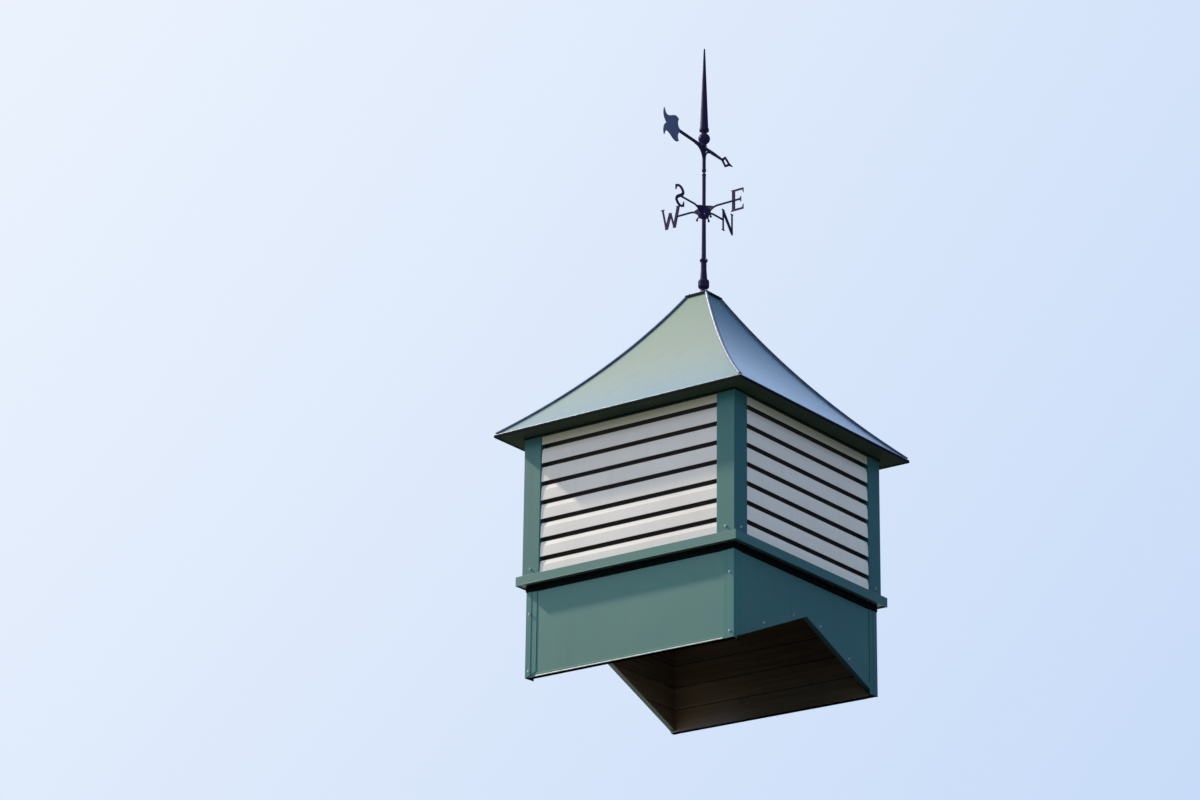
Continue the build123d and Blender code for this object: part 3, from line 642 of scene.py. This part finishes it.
# Hips. The sheets' edges meet under a roll of dark anodised aluminium, bent to the hip's hollow curve, that
# runs from the eave to the cap. Its dark colour is partly painted shade, standing for the hips' shaded
# sides, and it shines where it faces the light.
HIP_ROLL = 0.0060
HIP_STEPS = 28
HIP_END_GAP = 0.0065
EAVE_LIP = 0.008
ROOF_SWEEP = 0.0317
CAP_LIP_DROP = 0.004
ANODISED_AND_SHADE = (0.120, 0.150, 0.200, 1)
ANODISED_WORN = (0.220, 0.255, 0.300, 1)


def repeat_on_sides(shape):
    """Copies the whole of a shape round the vane's axis, to make four of it."""
    everything = shape.verts[:] + shape.edges[:] + shape.faces[:]
    bmesh.ops.spin(
        shape, geom=everything, cent=(0, 0, 0), axis=(0, 0, 1), angle=math.radians(270), steps=3,
        use_duplicate=True)


# Partly painted shade: the roll's dark colour stands for the hips' shaded sides.
anodised_roll = dulled_finish(
    "anodised_roll", ANODISED_AND_SHADE, ANODISED_WORN, patches=dict(scale=35.0, detail=4.0, low=0.4, high=0.75),
    roughness=(0.40, 0.50), dents=dict(scale=25.0, detail=2.0), depth=0.0002, Metallic=0.9)
# The roof's curve is one arc in the plane of a side. The roll follows it there, and is then drawn out
# onto the diagonal.
eave_up = roof_low.z + EAVE_LIP
run = eave_out - roof_low.x
rise = roof_high.z - eave_up
chord = math.hypot(run, rise)
curve_radius = (chord * chord / 4 + ROOF_SWEEP * ROOF_SWEEP) / (2 * ROOF_SWEEP)
reach = curve_radius - ROOF_SWEEP
curve_out = (eave_out + roof_low.x) / 2 + reach * rise / chord
curve_up = (eave_up + roof_high.z) / 2 + reach * run / chord
start_angle = math.asin((curve_out - eave_out + HIP_END_GAP) / curve_radius)
end_angle = math.acos((curve_up - roof_high.z + CAP_LIP_DROP) / curve_radius)
shape = bmesh.new()
ring = bmesh.ops.create_circle(shape, segments=12, radius=HIP_ROLL)["verts"]
start = Matrix.Translation((curve_out, 0, curve_up)) @ Matrix.Rotation(start_angle, 4, "Y")
start = start @ Matrix.Translation((0, 0, -curve_radius)) @ Matrix.Rotation(math.radians(90), 4, "Y")
bmesh.ops.transform(shape, matrix=start, verts=ring)
bmesh.ops.spin(
    shape, geom=ring + shape.edges[:], cent=(curve_out, 0, curve_up), axis=(0, 1, 0),
    angle=end_angle - start_angle, steps=HIP_STEPS)
bmesh.ops.holes_fill(shape, edges=shape.edges, sides=0)
diagonal = Matrix.Rotation(math.radians(45), 4, "Z") @ Matrix.Diagonal((math.sqrt(2), 1, 1, 1))
bmesh.ops.transform(shape, matrix=diagonal, verts=shape.verts)
repeat_on_sides(shape)
hip_rolls = make_piece("hip_rolls", shape, anodised_roll, crease=50)
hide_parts("hip_seams")


# Cap. A square plate of sheet steel over the roof's open top, painted black, its lip turned down over the
# roof. A zinc-plated screw near each corner holds it.
CAP_SCREW_OUT = 0.038
CAP_SCREW_DOWN = 0.006
CAP_BLACK = (0.006, 0.005, 0.018, 1)
CAP_WORN = (0.011, 0.010, 0.026, 1)
RUST = (0.052, 0.028, 0.024, 1)
RUST_FULL = 0.72


def vane_paint(name, fresh, worn, rust_from=0.65, pitting=0.00005):
    """Satin paint on steel: worn paler along its edges, with flecks of rust where noise passes a level."""
    material, tree, shader, place = new_material(name, Specular_IOR_Level=0.07)
    soft, edge = rounded(tree, 0.0012)
    wear = noise(tree, place, 30.0, 4.0, low=0.45, high=0.75)
    fleck = noise(tree, place, 55.0, 6.0, low=rust_from, high=RUST_FULL)
    colour = laid_over(tree, fresh, worn, wear, 0.5)
    colour = laid_over(tree, colour, worn, edge, 0.7)
    colour = laid_over(tree, colour, RUST, fleck, 0.7)
    pitted = bumped(tree, noise(tree, place, 170.0, 3.0), pitting, soft)
    set_surface(tree, shader, colour, pitted, between(tree, maths(tree, "MAXIMUM", wear, fleck), 0.42, 0.70))
    return material


finish_node("roof_cap", vane_paint("cap_black", CAP_BLACK, CAP_WORN, rust_from=0.66))
cap_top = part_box("roof_cap")[1].z
shape = bmesh.new()
for hand in (1, -1):
    for facing in (1, -1):
        add_screw(shape, (hand * CAP_SCREW_OUT, facing * CAP_SCREW_OUT, cap_top - CAP_SCREW_DOWN), (0, 0, 1))
make_piece("cap_screws", shape, zinc)


# Vane foot. A turned iron casting, painted black and flecked with rust, bedded on the cap in pale sealant.
# Two small screws in its top ring hold the mast.
BEDDING = (
    (0.0110, -0.0012),
    (0.0198, -0.0012),
    (0.0192, 0.0028),
    (0.0174, 0.0054),
    (0.0146, 0.0082),
    (0.0128, 0.0126),
    (0.0110, 0.0132),
)
BEDDING_STEPS = 32
FOOT_RING = 0.0150
FOOT_RING_DOWN = 0.0070
SET_SCREW = 0.55
VANE_BLACK = (0.017, 0.014, 0.058, 1)
VANE_WORN = (0.027, 0.025, 0.074, 1)
SEALANT_PALE = (0.400, 0.385, 0.410, 1)


def add_set_screws(shape, radius, height, angles):
    """Small screws that stand out from a round part at some angles."""
    for angle in angles:
        outward = (math.cos(math.radians(angle)), math.sin(math.radians(angle)), 0)
        add_screw(shape, (radius * outward[0], radius * outward[1], height), outward, SET_SCREW)


finish_node("vane_foot", vane_paint("foot_casting", VANE_BLACK, VANE_WORN, rust_from=0.59, pitting=0.0002))
shape = bmesh.new()
spin_section(shape, [(out, 0, cap_top + up) for out, up in BEDDING], steps=BEDDING_STEPS)
make_piece("foot_bedding", shape, sealant_finish("pale_sealant", SEALANT_PALE))
shape = bmesh.new()
add_set_screws(shape, FOOT_RING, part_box("vane_foot")[1].z - FOOT_RING_DOWN, (-20, 160))
make_piece("socket_screws", shape, zinc)


# Mast, hub and compass. Black-painted steel, the mast's paint a little paler with wear. The hub slips over
# the mast and is held by two screws; a web welded into the crook of each arm stiffens it.
HUB_RADIUS = 0.019
HUB_SCREW_UP = 0.009
WEB_THICK = 0.005
WEB = (
    (0.0060, 0.0475),
    (0.0180, 0.0450),
    (0.0300, 0.0415),
    (0.0420, 0.0375),
    (0.0420, 0.0310),
    (0.0340, 0.0268),
    (0.0260, 0.0200),
    (0.0210, 0.0140),
    (0.0170, 0.0100),
    (0.0060, 0.0200),
)
MAST_BLACK = (0.025, 0.022, 0.074, 1)
MAST_WORN = (0.038, 0.036, 0.092, 1)
finish_node("vane_mast", vane_paint("mast_black", MAST_BLACK, MAST_WORN))
steel_black = vane_paint("vane_black", VANE_BLACK, VANE_WORN)
for name in ("compass_hub", "compass_arm_e", "compass_arm_n", "compass_arm_w", "compass_arm_s"):
    finish_node(name, steel_black)
hub_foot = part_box("compass_hub")[0].z
shape = bmesh.new()
side_face = shape.faces.new([shape.verts.new((out, -WEB_THICK / 2, hub_foot + up)) for out, up in WEB])
grown = bmesh.ops.extrude_face_region(shape, geom=[side_face])["geom"]
far_side = [part for part in grown if isinstance(part, bmesh.types.BMVert)]
bmesh.ops.translate(shape, vec=(0, WEB_THICK, 0), verts=far_side)
repeat_on_sides(shape)
make_piece("arm_webs", shape, steel_black)
shape = bmesh.new()
add_set_screws(shape, HUB_RADIUS, hub_foot + HUB_SCREW_UP, (-45, 135))
make_piece("hub_screws", shape, zinc)


# Arrow. Sleeve, rod, head, tail, ball and spire, of painted steel, turn together on the mast's spindle; a
# screw in the boss grips the rod. The broad tail has faded to blue-grey.
BOSS_RADIUS = 0.0095
BOSS_DOWN = 0.014
BOSS_SCREW_ANGLE = 4
TAIL_BLUE = (0.074, 0.097, 0.185, 1)
TAIL_FADED = (0.098, 0.122, 0.205, 1)
for name in ("arrow_sleeve", "arrow_rod", "arrow_head", "vane_ball", "vane_spire"):
    finish_node(name, steel_black)
finish_node("arrow_tail", vane_paint("tail_blue", TAIL_BLUE, TAIL_FADED))
shape = bmesh.new()
add_set_screws(shape, BOSS_RADIUS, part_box("arrow_sleeve")[1].z - BOSS_DOWN, (BOSS_SCREW_ANGLE,))
make_piece("boss_screw", shape, zinc, body="vane")


# Stage. A wide pale floor at the level of the base's lowest edges. The camera stands below it, so it doesn't
# show from underneath, and what it throws back on the object is kept low.
FLOOR_RADIUS = 14.0
FLOOR_PALE = (0.46, 0.47, 0.49, 1)
FLOOR_BOUNCE = (0.22, 0.22, 0.23, 1)
shape = bmesh.new()
bmesh.ops.create_circle(shape, cap_ends=True, segments=64, radius=FLOOR_RADIUS)
floor_data = bpy.data.meshes.new("floor")
shape.to_mesh(floor_data)
shape.free()
floor = bpy.data.objects.new("floor", floor_data)
bpy.context.scene.collection.objects.link(floor)
pale_floor, tree, shader, _ = new_material("pale_floor", Roughness=0.95, Specular_IOR_Level=0.05)
rays = add_node(tree, "LightPath").outputs
shown = maths(tree, "MAXIMUM", rays["Is Camera Ray"], rays["Is Glossy Ray"])
shown = maths(tree, "MAXIMUM", shown, rays["Is Transmission Ray"])
tree.links.new(mix_colours(tree, shown, FLOOR_BOUNCE, FLOOR_PALE), shader.inputs["Base Color"])
underside = add_node(tree, "NewGeometry").outputs["Backfacing"]
from_below = maths(tree, "MULTIPLY", underside, rays["Is Camera Ray"])
clear = add_node(tree, "BsdfTransparent").outputs[0]
floor_surface = add_node(tree, "MixShader", {0: from_below, 1: shader.outputs[0], 2: clear}).outputs[0]
tree.links.new(floor_surface, tree.nodes["Material Output"].inputs["Surface"])
floor_data.materials.append(pale_floor)


# Studio light. A small warm lamp high on the left throws the sharp shadows, and a broad weak one fills the
# front. The backdrop is a pale blue wash, and what gloss mirrors of it runs from deep blue to pale.
BRIGHT_SIDE = (-0.743, -0.178, 0.645)
FRONT_SIDE = (-0.45, -0.85, 0.25)
LAMPS_AIM = (0, -0.45, 0.6)
WASH_RANGE = (0.1, 0.75)
BLUE_RANGE = (0.37, 0.50)
PALE_RANGE = (0.735, 0.89)
BACKDROP_PALE = (0.90, 0.94, 1.00, 1)
BACKDROP_BLUE = (0.38, 0.57, 0.90, 1)
MIRROR_DEEP = (0.06, 0.12, 0.34, 1)
MIRROR_BLUE = (0.53, 0.73, 1.12, 1)
MIRROR_PALE = (1.22, 1.20, 1.12, 1)
FILL_BLUE = (0.51, 0.64, 0.81, 1)
world = bpy.data.worlds.new("studio")
bpy.context.scene.world = world
world.use_nodes = True
tree = world.node_tree
rays = add_node(tree, "LightPath").outputs
direction = add_node(tree, "TexCoord").outputs["Generated"]
along = add_node(tree, "VectorMath", {0: direction, 1: BRIGHT_SIDE}, operation="DOT_PRODUCT")
brightness = along.outputs["Value"]
wash = mix_colours(tree, ramp(tree, brightness, *WASH_RANGE), BACKDROP_BLUE, BACKDROP_PALE)
mirrored = mix_colours(tree, ramp(tree, brightness, *BLUE_RANGE), MIRROR_DEEP, MIRROR_BLUE)
mirrored = mix_colours(tree, ramp(tree, brightness, *PALE_RANGE), mirrored, MIRROR_PALE)
lit = mix_colours(tree, rays["Is Glossy Ray"], FILL_BLUE, mirrored)
seen = maths(tree, "MAXIMUM", rays["Is Camera Ray"], rays["Is Transmission Ray"])
tree.links.new(mix_colours(tree, seen, lit, wash), tree.nodes["Background"].inputs["Color"])


def soft_lamp(name, towards, distance, size, power, colour, mirrored=True):
    """A square studio lamp aimed at the middle of the object, with or without its own reflection."""
    lamp = bpy.data.lights.new(name, "AREA")
    lamp.shape = "SQUARE"
    lamp.size = size
    lamp.energy = power
    lamp.color = colour
    outward = Vector(towards).normalized()
    stand = bpy.data.objects.new(name, lamp)
    stand.location = Vector(LAMPS_AIM) + outward * distance
    stand.rotation_euler = (-outward).to_track_quat("-Z", "Y").to_euler()
    stand.visible_camera = False
    stand.visible_glossy = mirrored
    bpy.context.scene.collection.objects.link(stand)


soft_lamp("key", BRIGHT_SIDE, distance=16.0, size=0.6, power=3030, colour=(1.0, 0.86, 0.73))
soft_lamp("fill", FRONT_SIDE, distance=8.0, size=5.0, power=85, colour=(1.0, 0.93, 0.80), mirrored=False)


# Camera. It stands below the eaves off the front right corner and looks up at the photograph's angle,
# through a long lens.
CAMERA_PLACE = (7.3824, -10.3853, -3.6987)
CAMERA_TURN = (110.5476, -0.7244, 36.8146)
view = bpy.data.cameras.new("view")
view.lens = 112.9
view.sensor_width = 36
view.clip_end = 100
camera = bpy.data.objects.new("camera", view)
camera.location = CAMERA_PLACE
camera.rotation_euler = [math.radians(angle) for angle in CAMERA_TURN]
bpy.context.scene.collection.objects.link(camera)
bpy.context.scene.camera = camera
bpy.context.scene.view_settings.view_transform = "Standard"
